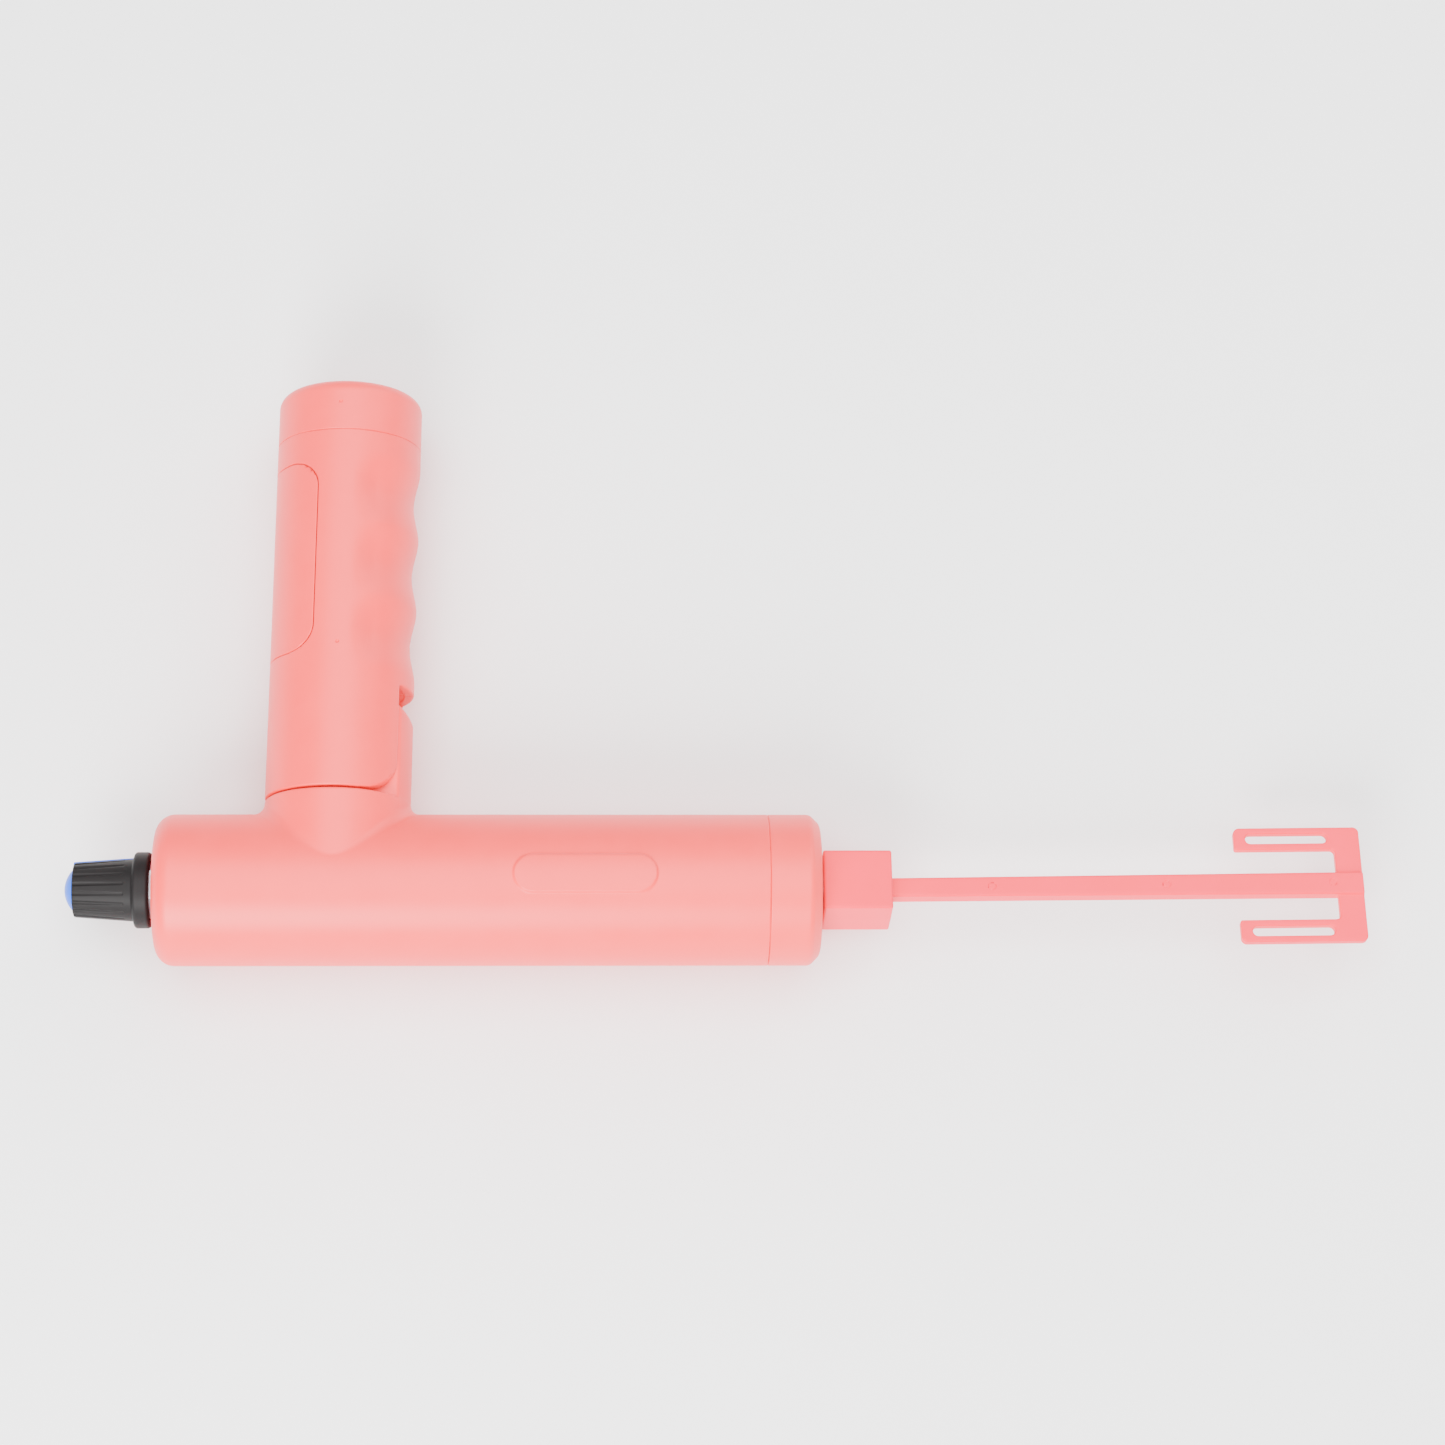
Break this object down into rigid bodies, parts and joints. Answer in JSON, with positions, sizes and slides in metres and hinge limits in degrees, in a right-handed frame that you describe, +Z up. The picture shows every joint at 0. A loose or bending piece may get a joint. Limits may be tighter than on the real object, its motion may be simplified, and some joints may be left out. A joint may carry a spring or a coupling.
{
  "type": "powered seam ripper",
  "caption": "Battery-powered seam ripper and thread winder with a folding pistol grip, a rear speed knob and a slotted winding fork.",
  "frame": {"origin": "on the spindle axis, at the middle of the nose collar", "axes": "+X along the barrel towards the winding fork, +Y up the grip, +Z up from the table the tool lies on"},
  "size_m": [0.2585, 0.118, 0.0304],
  "materials": {
    "pink_shell": "fine satin moulding",
    "rose_plastic": "satin moulding",
    "charcoal_plastic": "satin moulding",
    "sky_blue_plastic": "smooth",
    "grey_chassis_plastic": "moulded",
    "steel": "ground",
    "zinc_steel": "zinc plated",
    "sintered_bronze": "sintered",
    "acetal_gear": "natural",
    "cell_wrap": "shrink film",
    "circuit_board": "solder mask",
    "lead_insulation": "wire insulation"
  },
  "bodies": {
    "housing": {"left_barrel_shell": "pink_shell", "right_barrel_shell": "pink_shell", "barrel_screws": "zinc_steel", "nose_cap": "pink_shell", "nose_bushing": "sintered_bronze", "hinge_bushing": "acetal_gear", "ring_gear": "acetal_gear", "gearbox_plate": "zinc_steel", "motor_screws": "zinc_steel", "gearbox_front_cover": "zinc_steel", "gearbox_bushing": "sintered_bronze", "motor_can": "zinc_steel", "motor_end_bell": "grey_chassis_plastic", "motor_terminals": "sintered_bronze", "pot_body": "zinc_steel", "pot_washer": "zinc_steel", "pot_nut": "zinc_steel", "chassis": "grey_chassis_plastic", "battery_cell": "cell_wrap", "cell_contacts": "zinc_steel", "control_board": "circuit_board", "board_components": "charcoal_plastic", "charge_socket": "zinc_steel", "motor_leads": "lead_insulation"},
    "spindle": {"planet_carrier": "steel", "planet_pins": "steel", "retaining_clip": "steel", "drive_hub": "steel"},
    "motor_rotor": {"motor_shaft": "steel", "sun_gear": "sintered_bronze"},
    "planet_1": {"planet_gear_1": "acetal_gear"},
    "planet_2": {"planet_gear_2": "acetal_gear"},
    "planet_3": {"planet_gear_3": "acetal_gear"},
    "fork": {"winding_fork": "rose_plastic"},
    "grip": {"left_grip_shell": "pink_shell", "right_grip_shell": "pink_shell", "grip_end_cap": "pink_shell", "palm_panel": "pink_shell", "grip_screws": "zinc_steel", "hinge_pin": "steel", "hinge_washers": "steel"},
    "knob": {"speed_knob": "charcoal_plastic", "knob_cap": "sky_blue_plastic", "pot_shaft": "zinc_steel"}
  },
  "joints": [
    {"name": "grip_fold", "type": "hinge", "parent": "housing", "child": "grip", "pos_m": [-0.08452, 0.02482, 0], "axis": [0, 0, -1], "range_deg": [0, 88]},
    {"name": "speed_knob_turn", "type": "hinge", "parent": "housing", "child": "knob", "pos_m": [-0.1252, 0, 0], "axis": [-1, 0, 0], "range_deg": [0, 300]},
    {"name": "spindle_spin", "type": "hinge", "parent": "housing", "child": "spindle", "pos_m": [0.006, 0, 0], "axis": [1, 0, 0], "continuous": true},
    {"name": "motor_spin", "type": "hinge", "parent": "housing", "child": "motor_rotor", "pos_m": [-0.02, 0, 0], "axis": [1, 0, 0], "continuous": true},
    {"name": "fork_pull_off", "type": "slide", "parent": "spindle", "child": "fork", "axis": [1, 0, 0], "range_m": [0, 0.02]},
    {"name": "planet_1_spin", "type": "hinge", "parent": "spindle", "child": "planet_1", "pos_m": [-0.012, 0.0071, 0], "axis": [1, 0, 0], "continuous": true},
    {"name": "planet_2_spin", "type": "hinge", "parent": "spindle", "child": "planet_2", "pos_m": [-0.012, -0.00355, 0.00615], "axis": [1, 0, 0], "continuous": true},
    {"name": "planet_3_spin", "type": "hinge", "parent": "spindle", "child": "planet_3", "pos_m": [-0.012, -0.00355, -0.00615], "axis": [1, 0, 0], "continuous": true}
  ],
  "couplings": [
    {"joint": "motor_spin", "follows": "spindle_spin", "ratio": 4.5},
    {"joint": "planet_1_spin", "follows": "spindle_spin", "ratio": -2.8},
    {"joint": "planet_2_spin", "follows": "spindle_spin", "ratio": -2.8},
    {"joint": "planet_3_spin", "follows": "spindle_spin", "ratio": -2.8}
  ]
}
